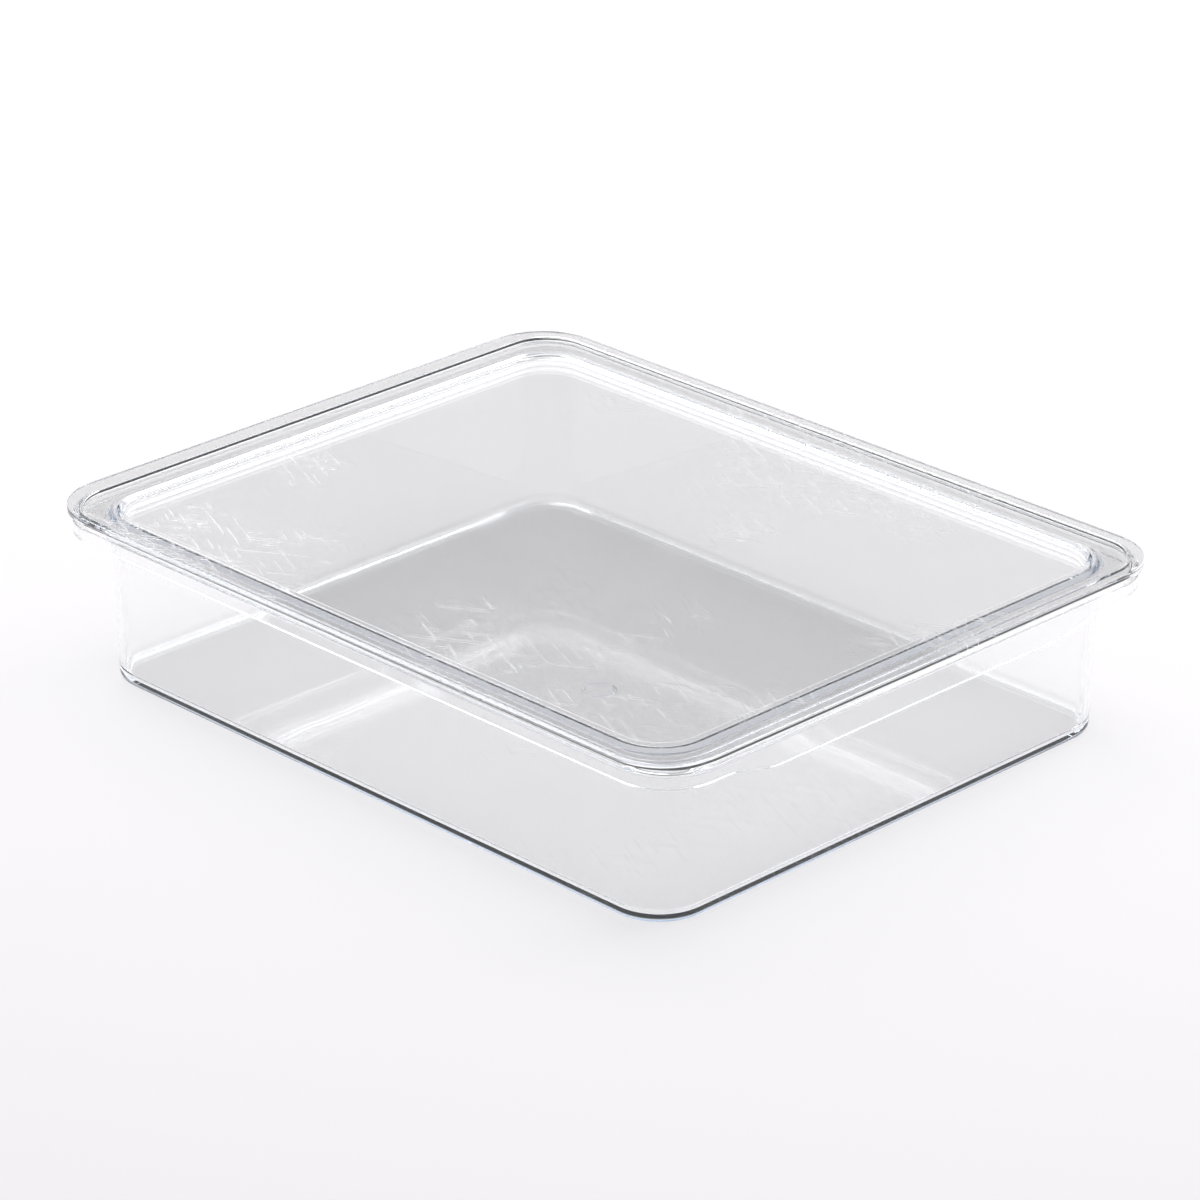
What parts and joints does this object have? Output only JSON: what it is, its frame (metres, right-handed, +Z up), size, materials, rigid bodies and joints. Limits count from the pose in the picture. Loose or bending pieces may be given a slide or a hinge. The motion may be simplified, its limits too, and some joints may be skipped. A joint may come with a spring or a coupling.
{
  "type": "storage box with lid",
  "caption": "Shallow clear rectangular storage box with round corners, an outward lip with a grip at each end, and a lift-off lid with a recessed panel.",
  "frame": {"origin": "centre of the footprint on the surface that the box stands on", "axes": "+X along the long sides, with a grip at each end; +Y across the width; +Z up, the way the lid lifts off"},
  "size_m": [0.3, 0.2384, 0.0635],
  "materials": {
    "box_plastic": "polished clear moulding",
    "lid_plastic": "polished clear moulding with fine handling scratches"
  },
  "bodies": {
    "box": {"box": "box_plastic"},
    "lid": {"lid": "lid_plastic"}
  },
  "joints": [
    {"name": "lid_lift", "type": "slide", "parent": "box", "child": "lid", "axis": [0, 0, 1], "range_m": [0, 0.08]}
  ]
}
